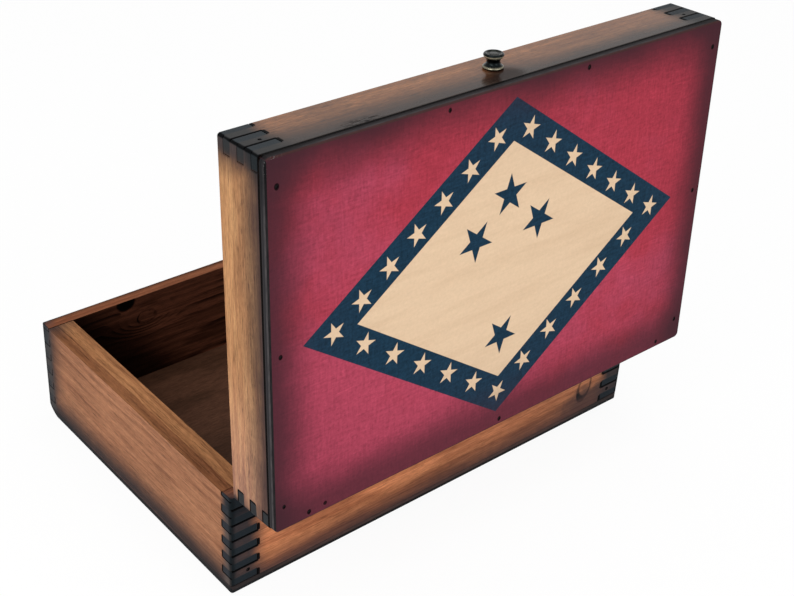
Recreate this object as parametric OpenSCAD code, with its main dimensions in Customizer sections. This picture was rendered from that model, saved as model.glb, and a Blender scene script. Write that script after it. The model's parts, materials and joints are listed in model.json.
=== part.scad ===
// Wooden memory box with a sawn-off lid, finger-jointed corners and stop hinges.
// The lid stands open against its hinge stops. Millimetres, +Z up.
// The origin is the middle of the underside, and the front with the knob faces -Y.

/* [Box] */
// Length of the box, along its front
box_l = 362; // [300:1:450]
// Depth of the box, from front to rear
box_d = 240; // [200:1:320]
// Height of the base, from its underside to its rim
base_h = 78.5; // [60:0.1:120]
// Height of the lid frame, from its rim to the underside of its panel
lid_h = 36.6; // [28:0.1:60]
// Gap between the two rims when the lid is shut
rim_gap = 0.4; // [0.3:0.1:0.8]
// How far the lid stands open, in degrees from shut
lid_angle = 87; // [70:1:95]

/* [Boards] */
// Thickness of the boards at the two ends
side_t = 19.5; // [15:0.5:24]
// Thickness of the front and rear boards
front_t = 9.5; // [9:0.5:14]
// Thickness of the plywood lid panel
panel_t = 6; // [5:0.5:9]
// Thickness of the plywood bottom
bottom_t = 6; // [5:0.5:9]

/* [Finger joints] */
// Height of one finger
finger_h = 6.35; // [5:0.05:10]
// Gap at the inner end of each finger
joint_gap = 0.6; // [0.2:0.1:1]
// Depth of the groove under the end grain of each finger
groove_d = 1.2; // [0.5:0.1:2]

/* [Rounded edges] */
// Radius of the upright corners of the boards
corner_r = 1.8; // [0.5:0.1:4]
// Radius of the corners of the lid panel, seen from above
panel_corner_r = 3.5; // [2:0.5:8]
// Radius of the corners of the bottom, seen from above
bottom_corner_r = 2; // [2:0.5:8]
// Radius round the lower edge of the bottom
bottom_edge_r = 1; // [0.5:0.5:3]
// Radius to which the two lower front corners are rounded off
front_corner_r = 13; // [6:0.5:16]
// Radius round the upper edge of the lid panel
top_edge_r = 1; // [0.5:0.1:2]
// Radius where a panel meets its frame, which leaves a dark line there
seam_r = 0.5; // [0.2:0.1:1]

/* [Hinges] */
// Distance of each hinge from the middle of the box
hinge_x = 105; // [60:1:130]
// Length of one hinge
hinge_l = 38; // [30:1:50]
// Width of a leaf, across the rim of the rear board
leaf_w = 8; // [6:0.5:8.5]
// Thickness of a leaf
leaf_t = 1.5; // [1:0.1:2]
// Diameter of the knuckles
knuckle_d = 5; // [4.5:0.1:6]
// Diameter of the hinge pin
pin_d = 1.6; // [1.2:0.1:2]
// Play of the pin in the knuckles, on the radius
pin_play = 0.05; // [0.02:0.01:0.1]
// Space between the rear of the box and the knuckles
knuckle_off = 1; // [0.8:0.1:1.5]
// Length of the stop at each end of a hinge
stop_l = 4; // [3:0.5:5]
// How far the stops reach past the knuckles
stop_reach = 0.7; // [0.4:0.1:0.7]
// Space between the stops when the lid stands open, and between knuckles
stop_gap = 0.2; // [0.1:0.05:0.3]

/* [Hinge screws] */
// Diameter of the shank
screw_d = 2; // [1.6:0.1:2.4]
// Diameter of the countersunk head
screw_head_d = 3.8; // [3.2:0.1:4.4]
// Height of the countersunk head
screw_head_h = 1.1; // [0.8:0.1:1.1]
// Length of the screw under its head
screw_l = 9; // [6:0.5:14]
// Distance of each screw from the middle of its leaf
screw_x = 11; // [7:0.5:13]

/* [Knob] */
// Diameter of the ring at the foot of the knob
knob_foot_d = 12.9; // [10:0.1:18]
// Diameter of the rim at the top of the knob
knob_top_d = 12.5; // [10:0.1:18]
// Diameter of the waist
knob_waist_d = 8.2; // [6.5:0.1:9]
// Height of the knob above the front board
knob_h = 9.6; // [8.5:0.1:14]
// Height of the knob's centre above the rim of the lid
knob_z = 17.4; // [12:0.1:30]
// Diameter of the screw that holds the knob
knob_screw_d = 3; // [2.5:0.1:4]
// How far that screw goes into the knob
knob_grip = 6; // [4:0.5:7]

/* [Brads] */
// Diameter of a brad's shank
brad_d = 1.2; // [0.8:0.1:1.6]
// Diameter of a brad's head
brad_head_d = 1.9; // [1.7:0.1:2.5]
// Thickness of a brad's head
brad_head_h = 0.6; // [0.4:0.1:1]
// Length of a brad
brad_l = 20; // [15:1:25]
// How deep a brad's head is punched below the face
brad_set = 0.4; // [0.2:0.1:0.8]
// Play round a brad or screw in the wood, on the radius
hole_play = 0.05; // [0.02:0.01:0.1]
// Distance of the corner brads from the ends of the box
corner_brad_in = 12.5; // [8:0.5:15]
// Height of the base's corner brads above the underside
base_brad_z = 14.5; // [13.5:0.5:17.5]
// Height of the lid's corner brads above the rim of the lid
lid_brad_z = 20.5; // [19:0.5:23]
// Distance of a panel's brads from its long edges
panel_brad_in = 4.5; // [4:0.5:6]
// Distance of a panel's brads from its short edges
panel_end_in = 7; // [5:0.5:12]
// Distance of the front brads of a panel from its middle
panel_brad_x = 56; // [40:1:80]
// Distance of the end rear brads of a panel from its short edges
panel_brad_corner = 25; // [20:1:40]
// Distance of the end brads of a panel's short edges from its long edges
panel_end_corner = 17; // [14:1:30]

/* [Hidden] */
$fn = 96;
eps = 0.01;
// How far a board's blank reaches past the box, and how far what is cut out of it reaches past that
over = 1;
past = over + 1;
// How far the round of a lower front corner is let down, so that it meets the underside at a clear edge
corner_sink = 0.2;
wood = [0.62, 0.38, 0.22];
wood_light = [0.74, 0.54, 0.35];
wood_dark = [0.50, 0.29, 0.17];
panel_red = [0.60, 0.20, 0.28];
ply = [0.42, 0.27, 0.18];
brass = [0.45, 0.38, 0.22];
iron = [0.16, 0.16, 0.17];

// Heights, with the lid shut
lid_z = base_h + rim_gap;
panel_z = lid_z + lid_h;
// The hinge axis lies half way between the two rims and behind the rear board
knuckle_r = knuckle_d / 2;
axis_y = box_d / 2 + knuckle_off + knuckle_r;
axis_z = base_h + rim_gap / 2;
axis_off = axis_y - box_d / 2;
bore_r = pin_d / 2 + pin_play;
// Each hinge is a stop, three knuckles and a second stop, end to end
barrel_l = hinge_l - 2 * stop_l;
knuckle_l = barrel_l / 3;
stop_r = knuckle_r + stop_reach;
leaf_y = box_d / 2 - leaf_w;
screw_y = box_d / 2 - leaf_w / 2;
// Sizes of the knob's screw head and of its seat in the front board
knob_head_r = knob_screw_d;
knob_head_h = knob_screw_d * 0.7;
knob_seat_r = knob_head_r + 0.3;
// Brads along the edges of a panel, as [x, y], the same in the lid and the bottom
brad_x_end = box_l / 2 - panel_end_in;
brad_y_edge = box_d / 2 - panel_brad_in;
brad_y_end = box_d / 2 - panel_end_corner;
brad_x_corner = box_l / 2 - panel_brad_corner;
panel_brads = concat(
    [for (x = [-1, 1], y = [-1, 0, 1]) [x * brad_x_end, y * brad_y_end]],
    [for (x = [-1, 1]) [x * panel_brad_x, -brad_y_edge]],
    [for (x = [-1, 0, 1]) [x * brad_x_corner, brad_y_edge]]
);

// Fingers of the base count up from the bottom, and those of the lid down from its panel.
// Each entry is [low, high]. The ones at the rims reach past them, because the saw cut that
// parts the lid shortens those fingers.
base_count = ceil((base_h - bottom_t) / finger_h);
lid_count = ceil(lid_h / finger_h);
function base_slot(k) = [bottom_t + k * finger_h, bottom_t + (k + 1) * finger_h];
function lid_slot(k) = [panel_z - (k + 1) * finger_h, panel_z - k * finger_h];
base_side_slots = [for (k = [0:2:base_count - 1]) base_slot(k)];
base_long_slots = [for (k = [1:2:base_count - 1]) base_slot(k)];
lid_side_slots = [for (k = [1:2:lid_count - 1]) lid_slot(k)];
lid_long_slots = [for (k = [0:2:lid_count - 1]) lid_slot(k)];

// Turns what is modelled shut about the hinge axis, to where the lid stands open
module opened() {
    translate([0, axis_y, axis_z])
        rotate([-lid_angle, 0, 0])
            translate([0, -axis_y, -axis_z])
                children();
}

// Keeps what lies inside the box's outer faces and its upright rounded corners
module in_corners(z0, z1) {
    intersection() {
        children();
        translate([0, 0, z0 - over])
            linear_extrude(z1 - z0 + 2 * over)
                union() {
                    square([box_l - 2 * corner_r, box_d], center = true);
                    square([box_l, box_d - 2 * corner_r], center = true);
                    for (x = [-1, 1], y = [-1, 1])
                        translate([x * (box_l / 2 - corner_r), y * (box_d / 2 - corner_r)])
                            circle(corner_r);
                }
    }
}

// A front or rear board at the -Y face, with pockets for the fingers of the end boards
module long_board(z0, z1, side_slots, long_slots) {
    in_corners(z0, z1)
        difference() {
            translate([-box_l / 2 - over, -box_d / 2 - over, z0])
                cube([box_l + 2 * over, front_t + over, z1 - z0]);
            for (m = [0, 1])
                mirror([m, 0, 0]) {
                    for (s = side_slots)
                        translate([box_l / 2 - side_t - joint_gap, -box_d / 2 - past, s[0]])
                            cube([side_t + joint_gap + past, front_t + over + past, s[1] - s[0]]);
                    for (s = long_slots)
                        translate([box_l / 2 - groove_d, -box_d / 2 - past, s[0]])
                            cube([groove_d + past, front_t + over + past, joint_gap]);
                }
        }
}

// An end board at the +X face, with pockets for the fingers of the front and rear boards
module side_board(z0, z1, side_slots, long_slots) {
    in_corners(z0, z1)
        difference() {
            translate([box_l / 2 - side_t, -box_d / 2 - over, z0])
                cube([side_t + over, box_d + 2 * over, z1 - z0]);
            for (m = [0, 1])
                mirror([0, m, 0]) {
                    for (s = long_slots)
                        translate([box_l / 2 - side_t - over, box_d / 2 - front_t - joint_gap, s[0]])
                            cube([side_t + over + past, front_t + joint_gap + past, s[1] - s[0]]);
                    for (s = side_slots)
                        translate([box_l / 2 - side_t - over, box_d / 2 - groove_d, s[0]])
                            cube([side_t + over + past, groove_d + past, joint_gap]);
                }
        }
}

// Cross-section of a panel's edge: w wide from the middle, t thick, rounded below and above
module edge_section(w, t, r_low, r_high) {
    difference() {
        square([w, t]);
        translate([w - r_low, 0])
            difference() {
                translate([0, -eps])
                    square([r_low + eps, r_low + eps]);
                translate([0, r_low])
                    circle(r_low);
            }
        translate([w - r_high, t - r_high])
            difference() {
                square([r_high + eps, r_high + eps]);
                circle(r_high);
            }
    }
}

// A plywood panel as large as the box, with corners of radius r_plan and rounded edges
module plywood(t, r_plan, r_low, r_high) {
    for (m = [0, 1]) {
        mirror([m, 0, 0])
            rotate([90, 0, 0])
                linear_extrude(box_d - 2 * r_plan, center = true)
                    edge_section(box_l / 2, t, r_low, r_high);
        mirror([0, m, 0])
            rotate([90, 0, 90])
                linear_extrude(box_l - 2 * r_plan, center = true)
                    edge_section(box_d / 2, t, r_low, r_high);
    }
    for (x = [-1, 1], y = [-1, 1])
        translate([x * (box_l / 2 - r_plan), y * (box_d / 2 - r_plan), 0])
            rotate_extrude()
                edge_section(r_plan, t, r_low, r_high);
}

// What is taken off the two lower front corners. Each cut is the space between a corner and a
// cylinder that lies across it.
module front_corner_cuts() {
    w = 4 * front_corner_r;
    for (m = [0, 1])
        mirror([m, 0, 0])
            translate([box_l / 2, -box_d / 2, 0])
                rotate([0, 0, -45])
                    rotate([90, 0, 0])
                        linear_extrude(w, center = true)
                            difference() {
                                translate([-front_corner_r, -over])
                                    square(front_corner_r + over);
                                translate([-front_corner_r, front_corner_r - corner_sink])
                                    circle(front_corner_r);
                            }
}

// A brad that points down +Z from its head at z = 0, punched below the face
module brad() {
    translate([0, 0, brad_set])
        cylinder(h = brad_head_h, d = brad_head_d);
    translate([0, 0, brad_set])
        cylinder(h = brad_l - 1, d = brad_d);
    translate([0, 0, brad_set + brad_l - 1])
        cylinder(h = 1, d1 = brad_d, d2 = 0.3);
}

// The hole that a brad makes, from the face at z = 0
module brad_hole() {
    translate([0, 0, -eps])
        cylinder(h = brad_set + brad_head_h + hole_play + eps, d = brad_head_d + 2 * hole_play);
    cylinder(h = brad_set + brad_l + hole_play, d = brad_d + 2 * hole_play);
}

// Places of the corner brads, driven in from the front and rear faces at height z
module at_corner_brads(z) {
    for (m = [0, 1], x = [-1, 1])
        mirror([0, m, 0])
            translate([x * (box_l / 2 - corner_brad_in), -box_d / 2, z])
                rotate([-90, 0, 0])
                    children();
}

// Places of the bottom's brads, driven up from the underside
module at_bottom_brads() {
    for (p = panel_brads)
        translate([p[0], p[1], 0])
            children();
}

// Places of the lid panel's brads, driven down from its face
module at_lid_brads() {
    for (p = panel_brads)
        translate([p[0], p[1], panel_z + panel_t])
            mirror([0, 0, 1])
                children();
}

// A countersunk wood screw that points down -Z from its head's face at z = 0
module hinge_screw() {
    difference() {
        union() {
            translate([0, 0, -screw_head_h])
                cylinder(h = screw_head_h, d1 = screw_d, d2 = screw_head_d);
            translate([0, 0, -screw_l])
                cylinder(h = screw_l - screw_head_h, d = screw_d);
            translate([0, 0, -screw_l - 1.5])
                cylinder(h = 1.5, d1 = 0.3, d2 = screw_d);
        }
        translate([-screw_head_d / 2, -0.3, -0.5])
            cube([screw_head_d, 0.6, 1]);
    }
}

// The pilot hole of a hinge screw in the wood
module screw_pilot() {
    translate([0, 0, -screw_l - 2])
        cylinder(h = screw_l + 2 + eps, d = screw_d + 2 * hole_play);
}

// Places of the hinge screws, head up, in the base's leaves
module at_base_screws() {
    for (h = [-1, 1], s = [-1, 1])
        translate([h * hinge_x + s * screw_x, screw_y, base_h])
            children();
}

// Places of the hinge screws, head down, in the lid's leaves
module at_lid_screws() {
    for (h = [-1, 1], s = [-1, 1])
        translate([h * hinge_x + s * screw_x, screw_y, lid_z])
            mirror([0, 0, 1])
                children();
}

// The mortises for the leaves, cut down from the base's rim
module base_mortises() {
    for (h = [-1, 1])
        translate([h * hinge_x - hinge_l / 2 - hole_play, leaf_y, base_h - leaf_t])
            cube([hinge_l + 2 * hole_play, leaf_w + eps, leaf_t + eps]);
}

// The mortises for the leaves, cut up from the lid's rim
module lid_mortises() {
    for (h = [-1, 1])
        translate([h * hinge_x - hinge_l / 2 - hole_play, leaf_y, lid_z - eps])
            cube([hinge_l + 2 * hole_play, leaf_w + eps, leaf_t + eps]);
}

// A cylinder along X round the hinge axis, from x0 to x1
module barrel(x0, x1, r) {
    translate([x0, axis_y, axis_z])
        rotate([0, 90, 0])
            cylinder(h = x1 - x0, r = r);
}

// One stop, from x0 to x1: a part of a disc whose flat face the other leaf's stop meets
// when the lid stands open
module stop(x0, x1) {
    intersection() {
        barrel(x0, x1, stop_r);
        translate([x0, axis_y, axis_z])
            rotate([-lid_angle / 2, 0, 0])
                translate([0, -2 * stop_r, -2 * stop_r - stop_gap / 2])
                    cube([x1 - x0, 4 * stop_r, 2 * stop_r]);
        translate([x0, axis_y - 2 * stop_r, base_h - 2 * stop_r])
            cube([x1 - x0, 4 * stop_r, 2 * stop_r]);
    }
}

// A leaf at x = 0, let in flush with the base's rim. Its knuckles start where knuckles says,
// counted from the end of the barrel.
module leaf(knuckles) {
    difference() {
        union() {
            translate([-hinge_l / 2, leaf_y, base_h - leaf_t])
                cube([hinge_l, leaf_w, leaf_t]);
            for (k = knuckles) {
                x0 = -barrel_l / 2 + k * knuckle_l + stop_gap / 2;
                x1 = -barrel_l / 2 + (k + 1) * knuckle_l - stop_gap / 2;
                barrel(x0, x1, knuckle_r);
                translate([x0, box_d / 2 - eps, base_h - leaf_t])
                    cube([x1 - x0, axis_off + eps, leaf_t]);
            }
            for (m = [0, 1])
                mirror([m, 0, 0]) {
                    x0 = barrel_l / 2 + stop_gap / 2;
                    stop(x0, hinge_l / 2);
                    translate([x0, box_d / 2 - eps, base_h - leaf_t])
                        cube([hinge_l / 2 - x0, axis_off / 2 + eps, leaf_t]);
                }
        }
        barrel(-barrel_l / 2, barrel_l / 2, bore_r);
        for (s = [-1, 1])
            translate([s * screw_x, screw_y, base_h]) {
                translate([0, 0, -screw_head_h - hole_play])
                    cylinder(
                        h = screw_head_h + hole_play + eps,
                        d1 = screw_d + 2 * hole_play,
                        d2 = screw_head_d + 2 * hole_play
                    );
                translate([0, 0, -leaf_t - eps])
                    cylinder(h = leaf_t + eps, d = screw_d + 2 * hole_play);
            }
    }
}

// The base's leaf carries the two outer knuckles
module base_leaf() {
    leaf([0, 2]);
}

// The lid's leaf is the same leaf upside down and carries the middle knuckle
module lid_leaf() {
    translate([0, 0, axis_z])
        mirror([0, 0, 1])
            translate([0, 0, -axis_z])
                leaf([1]);
}

// The pin, held between the stops at the ends of the hinge
module hinge_pin() {
    barrel(-barrel_l / 2 + stop_gap, barrel_l / 2 - stop_gap, pin_d / 2);
}

// Places what stands on the front board's face on the knob's axis, with +Z outwards
module at_knob() {
    translate([0, -box_d / 2, lid_z + knob_z])
        rotate([90, 0, 0])
            children();
}

// Points of an arc round [r, z], from angle a0 to a1
function arc(r, z, radius, a0, a1, steps) =
    [for (i = [0:steps]) let (a = a0 + (a1 - a0) * i / steps) [r + radius * cos(a), z + radius * sin(a)]];

// Half of the knob's section: foot ring, hollow waist, rounded rim and dished top
foot_ring_r = 1;
rim_ring_r = 1.2;
waist_z = (2 * foot_ring_r + knob_h - 2 * rim_ring_r) / 2;
cove_r = (knob_h - 2 * foot_ring_r - 2 * rim_ring_r) / 2 + 0.1;
cove_c = knob_waist_d / 2 + cove_r;
dish_depth = 0.7;
knob_section = concat(
    [[0, 0]],
    arc(knob_foot_d / 2 - foot_ring_r, foot_ring_r, foot_ring_r, -90, 75, 10),
    arc(cove_c, waist_z, cove_r, 240, 120, 14),
    arc(knob_top_d / 2 - rim_ring_r, knob_h - rim_ring_r, rim_ring_r, -75, 130, 12),
    [[knob_top_d / 2 - 2.4, knob_h - dish_depth], [knob_top_d / 2 - 3.2, knob_h - dish_depth - 0.15]],
    [[knob_top_d / 2 - 3.6, knob_h - dish_depth + 0.1], [0, knob_h - dish_depth + 0.25]]
);

module base_front_wall() {
    color(wood)
        difference() {
            long_board(bottom_t, base_h, base_side_slots, base_long_slots);
            at_corner_brads(base_brad_z)
                brad_hole();
            at_bottom_brads()
                brad_hole();
            front_corner_cuts();
        }
}

module base_rear_wall() {
    color(wood)
        difference() {
            mirror([0, 1, 0])
                long_board(bottom_t, base_h, base_side_slots, base_long_slots);
            at_corner_brads(base_brad_z)
                brad_hole();
            at_bottom_brads()
                brad_hole();
            base_mortises();
            at_base_screws()
                screw_pilot();
        }
}

module base_side_wall() {
    difference() {
        side_board(bottom_t, base_h, base_side_slots, base_long_slots);
        at_corner_brads(base_brad_z)
            brad_hole();
        at_bottom_brads()
            brad_hole();
        front_corner_cuts();
    }
}

module base_right_wall() {
    color(wood_dark)
        base_side_wall();
}

module base_left_wall() {
    color(wood_dark)
        mirror([1, 0, 0])
            base_side_wall();
}

module bottom_panel() {
    color(ply)
        difference() {
            plywood(bottom_t, bottom_corner_r, bottom_edge_r, seam_r);
            at_bottom_brads()
                brad_hole();
            front_corner_cuts();
        }
}

module bottom_brads() {
    color(iron)
        at_bottom_brads()
            brad();
}

module base_corner_brads() {
    color(iron)
        at_corner_brads(base_brad_z)
            brad();
}

module left_hinge_base_leaf() {
    color(brass)
        translate([-hinge_x, 0, 0])
            base_leaf();
}

module right_hinge_base_leaf() {
    color(brass)
        translate([hinge_x, 0, 0])
            base_leaf();
}

module left_hinge_pin() {
    color(iron)
        translate([-hinge_x, 0, 0])
            hinge_pin();
}

module right_hinge_pin() {
    color(iron)
        translate([hinge_x, 0, 0])
            hinge_pin();
}

module base_hinge_screws() {
    color(brass)
        at_base_screws()
            hinge_screw();
}

module lid_front_rail() {
    color(wood_light)
        opened()
            difference() {
                long_board(lid_z, panel_z, lid_side_slots, lid_long_slots);
                at_corner_brads(lid_z + lid_brad_z)
                    brad_hole();
                at_lid_brads()
                    brad_hole();
                at_knob() {
                    translate([0, 0, -front_t - eps])
                        cylinder(h = front_t + 2 * eps, d = knob_screw_d + 6 * hole_play);
                    translate([0, 0, -front_t - eps])
                        cylinder(h = knob_head_h + hole_play + eps, r = knob_seat_r);
                }
            }
}

module lid_rear_rail() {
    color(wood_light)
        opened()
            difference() {
                mirror([0, 1, 0])
                    long_board(lid_z, panel_z, lid_side_slots, lid_long_slots);
                at_corner_brads(lid_z + lid_brad_z)
                    brad_hole();
                at_lid_brads()
                    brad_hole();
                lid_mortises();
                at_lid_screws()
                    screw_pilot();
            }
}

module lid_side_rail() {
    difference() {
        side_board(lid_z, panel_z, lid_side_slots, lid_long_slots);
        at_corner_brads(lid_z + lid_brad_z)
            brad_hole();
        at_lid_brads()
            brad_hole();
    }
}

module lid_right_rail() {
    color(wood_light)
        opened()
            lid_side_rail();
}

module lid_left_rail() {
    color(wood_light)
        opened()
            mirror([1, 0, 0])
                lid_side_rail();
}

module lid_panel() {
    color(panel_red)
        opened()
            difference() {
                translate([0, 0, panel_z])
                    plywood(panel_t, panel_corner_r, seam_r, top_edge_r);
                at_lid_brads()
                    brad_hole();
            }
}

module lid_panel_brads() {
    color(iron)
        opened()
            at_lid_brads()
                brad();
}

module lid_corner_brads() {
    color(iron)
        opened()
            at_corner_brads(lid_z + lid_brad_z)
                brad();
}

module left_hinge_lid_leaf() {
    color(brass)
        opened()
            translate([-hinge_x, 0, 0])
                lid_leaf();
}

module right_hinge_lid_leaf() {
    color(brass)
        opened()
            translate([hinge_x, 0, 0])
                lid_leaf();
}

module lid_hinge_screws() {
    color(brass)
        opened()
            at_lid_screws()
                hinge_screw();
}

module lid_knob() {
    color(brass)
        opened()
            at_knob()
                difference() {
                    rotate_extrude()
                        polygon(knob_section);
                    translate([0, 0, -eps])
                        cylinder(h = knob_grip + 0.5, d = knob_screw_d + 2 * hole_play);
                }
}

module knob_screw() {
    color(brass)
        opened()
            at_knob() {
                translate([0, 0, -front_t + knob_head_h])
                    cylinder(h = front_t - knob_head_h + knob_grip, d = knob_screw_d);
                translate([0, 0, -front_t])
                    cylinder(h = knob_head_h, r = knob_head_r);
            }
}

base_front_wall();
base_rear_wall();
base_left_wall();
base_right_wall();
bottom_panel();
bottom_brads();
base_corner_brads();
left_hinge_base_leaf();
right_hinge_base_leaf();
left_hinge_pin();
right_hinge_pin();
base_hinge_screws();
lid_front_rail();
lid_rear_rail();
lid_left_rail();
lid_right_rail();
lid_panel();
lid_panel_brads();
lid_corner_brads();
left_hinge_lid_leaf();
right_hinge_lid_leaf();
lid_hinge_screws();
lid_knob();
knob_screw();
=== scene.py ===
import json
from collections import namedtuple
from math import cos, pi, radians, sin, tau

import bmesh
import bpy
from mathutils import Euler, Matrix, Vector


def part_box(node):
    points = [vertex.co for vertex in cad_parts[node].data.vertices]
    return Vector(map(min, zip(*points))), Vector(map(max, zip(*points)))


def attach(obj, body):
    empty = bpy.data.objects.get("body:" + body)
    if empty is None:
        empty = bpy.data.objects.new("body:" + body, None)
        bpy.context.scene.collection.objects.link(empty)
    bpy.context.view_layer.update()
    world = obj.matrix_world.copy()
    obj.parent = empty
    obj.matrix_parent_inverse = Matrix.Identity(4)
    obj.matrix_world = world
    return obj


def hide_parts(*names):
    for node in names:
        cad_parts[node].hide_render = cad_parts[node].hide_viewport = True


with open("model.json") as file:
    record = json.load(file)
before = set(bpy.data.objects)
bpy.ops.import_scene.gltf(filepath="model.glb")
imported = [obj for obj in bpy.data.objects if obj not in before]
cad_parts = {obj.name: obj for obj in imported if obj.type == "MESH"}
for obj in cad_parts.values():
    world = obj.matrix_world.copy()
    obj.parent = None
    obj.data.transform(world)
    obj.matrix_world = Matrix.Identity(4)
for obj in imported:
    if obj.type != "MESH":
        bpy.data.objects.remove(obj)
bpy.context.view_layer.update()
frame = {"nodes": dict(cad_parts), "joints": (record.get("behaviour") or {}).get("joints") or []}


# ---- Sizes ----

# They are in millimetres, as in the part's source. Materials work in millimetres too, and in the
# places that the pieces have while the lid is shut.
MM = 0.001

HINGE = next(j for j in frame["joints"] if j["name"] == "lid_hinge")
HINGE_AXIS = Vector(HINGE["pos_m"]) / MM
LID_OPEN = radians(HINGE["range_deg"][1])
SHUTTING = Matrix.Rotation(LID_OPEN, 3, "X")
SHUT_MOVE = HINGE_AXIS - SHUTTING @ HINGE_AXIS

# Corners of a mesh that are nearer to each other than this belong to one brad.
BRAD_APART = 4.0


def open_box(node):
    """Lowest and highest corner of a node as it stands open."""
    low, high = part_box(node)
    return low / MM, high / MM


def shut(corner):
    """Where a corner of the open lid's mesh is once the lid is shut."""
    return SHUTTING @ (corner.co / MM) + SHUT_MOVE


def opened(place):
    """Where a place on the shut lid is while the lid stands open."""
    return SHUTTING.transposed() @ (place - SHUT_MOVE)


def shut_box(node):
    """Lowest and highest corner of a lid node once the lid is shut."""
    places = [shut(corner) for corner in frame["nodes"][node].data.vertices]
    low = Vector(min(p[i] for p in places) for i in range(3))
    high = Vector(max(p[i] for p in places) for i in range(3))
    return low, high


def brad_places(node):
    """Where a lid node's upright brads stand, as (x, y) on the shut lid."""
    groups = []
    for corner in frame["nodes"][node].data.vertices:
        place = shut(corner).xy
        group = next((g for g in groups if (g[0] - place).length < BRAD_APART), None)
        if group:
            group.append(place)
        else:
            groups.append([place])
    return [sum(group, Vector((0, 0))) / len(group) for group in groups]


HALF_L = open_box("base_right_wall")[1].x
HALF_D = open_box("base_rear_wall")[1].y
END_T = HALF_L - open_box("base_right_wall")[0].x
LONG_T = HALF_D - open_box("base_rear_wall")[0].y
PLY_T = open_box("bottom_panel")[1].z
BASE_RIM = open_box("base_front_wall")[1].z
LID_RIM = shut_box("lid_front_rail")[0].z
LID_SEAM, LID_TOP = (corner.z for corner in shut_box("lid_panel"))

# The height of one finger of the corner joints, and how far each corner's brad stands in from the
# end and how high, as in the part's source.
FINGER = 6.35
FINGER_PITCH = 2 * FINGER
BRAD_IN, BRAD_BASE, BRAD_LID = 12.7, 14.7, 99.4

# The knob's box, its axis, its height from the rail, and the radius of its foot.
KNOB_LOW, KNOB_HIGH = shut_box("lid_knob")
KNOB_X, KNOB_Z = (KNOB_LOW.x + KNOB_HIGH.x) / 2, (KNOB_LOW.z + KNOB_HIGH.z) / 2
KNOB_TALL = KNOB_HIGH.y - KNOB_LOW.y
KNOB_FOOT = (KNOB_HIGH.x - KNOB_LOW.x) / 2


# ---- Shader maths ----


class Value:
    """A socket's number, so that shader maths reads as arithmetic."""

    def __init__(self, finish, node, output=0):
        self.finish = finish
        self.node = node
        self.socket = node.outputs[output] if node.outputs else None

    def of(self, output):
        """Another output of the same node."""
        return Value(self.finish, self.node, output)

    def __add__(self, other):
        return maths("ADD", self, other)

    def __sub__(self, other):
        return maths("SUBTRACT", self, other)

    def __rsub__(self, other):
        return maths("SUBTRACT", other, self)

    def __mul__(self, other):
        return maths("MULTIPLY", self, other)

    def __truediv__(self, other):
        return maths("DIVIDE", self, other)

    __radd__ = __add__
    __rmul__ = __mul__


class Finish:
    """One material while it is being made."""

    def __init__(self, name):
        self.material = bpy.data.materials.new(name)
        self.material.use_nodes = True
        self.tree = self.material.node_tree
        self.tree.nodes.clear()

    def add(self, kind, settings, inputs, output=0):
        """A node of that kind: its settings first, then the values or links of its sockets."""
        node = self.tree.nodes.new(kind)
        for name, value in settings.items():
            setattr(node, name, value)
        for name, value in inputs.items():
            if isinstance(value, Value):
                self.tree.links.new(value.socket, node.inputs[name])
            else:
                node.inputs[name].default_value = value
        return Value(self, node, output)

    def done(self, colour, roughness, height, height_mm, **others):
        """Ends the material in one Principled shader. height becomes a bump that many mm high.

        others are the shader's other sockets by name, with _ for a space.
        """
        bump = {"Strength": 1.0, "Distance": height_mm * MM, "Height": height}
        inputs = {
            "Base Color": colour,
            "Roughness": roughness,
            "Normal": self.add("ShaderNodeBump", {}, bump),
        }
        inputs.update({name.replace("_", " "): value for name, value in others.items()})
        shader = self.add("ShaderNodeBsdfPrincipled", {}, inputs)
        self.add("ShaderNodeOutputMaterial", {}, {"Surface": shader})
        return self.material


class Surround(Finish):
    """The white surroundings, made in the way that a finish is."""

    def __init__(self, name):
        self.world = bpy.data.worlds.new(name)
        self.world.use_nodes = True
        self.tree = self.world.node_tree
        self.tree.nodes.clear()


def maths(operation, *terms):
    """A Math node on values and numbers."""
    finish = next(t.finish for t in terms if isinstance(t, Value))
    return finish.add("ShaderNodeMath", {"operation": operation}, dict(enumerate(terms)))


def least(a, b):
    """The smaller of two values."""
    return maths("MINIMUM", a, b)


def most(value, *others):
    """The largest of some values."""
    for other in others:
        value = maths("MAXIMUM", value, other)
    return value


def clipped(value):
    """The value, held between 0 and 1."""
    return least(most(value, 0.0), 1.0)


def size(value):
    """The value without its sign."""
    return maths("ABSOLUTE", value)


def whole(value):
    """The value rounded down."""
    return maths("FLOOR", value)


def reach(a, b):
    """Length of the vector with the two parts a and b."""
    return maths("SQRT", a * a + b * b)


def rise(value, low, high):
    """0 below low, 1 above high, and a smooth step between. It falls where low is above high."""
    if low > high:
        return 1 - rise(value, high, low)
    return value.finish.add(
        "ShaderNodeMapRange",
        {"interpolation_type": "SMOOTHSTEP"},
        {0: value, 1: low, 2: high, 3: 0.0, 4: 1.0},
    )


def rgb(red, green, blue):
    """A colour given as it shows on a screen, from 0 to 255, as the linear colour of a shader."""
    def linear(c):
        c /= 255
        return c / 12.92 if c <= 0.04045 else ((c + 0.055) / 1.055) ** 2.4

    return (linear(red), linear(green), linear(blue), 1.0)


def shade(tone, amount):
    """A fixed colour times a fixed number."""
    return tuple(part * amount for part in tone)


def tinted(colour, amount):
    """The colour times a number, where one of them or both vary."""
    finish = next(v.finish for v in (colour, amount) if isinstance(v, Value))
    if isinstance(colour, tuple):
        colour = colour[:3]
    return finish.add("ShaderNodeVectorMath", {"operation": "SCALE"}, {0: colour, "Scale": amount})


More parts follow.
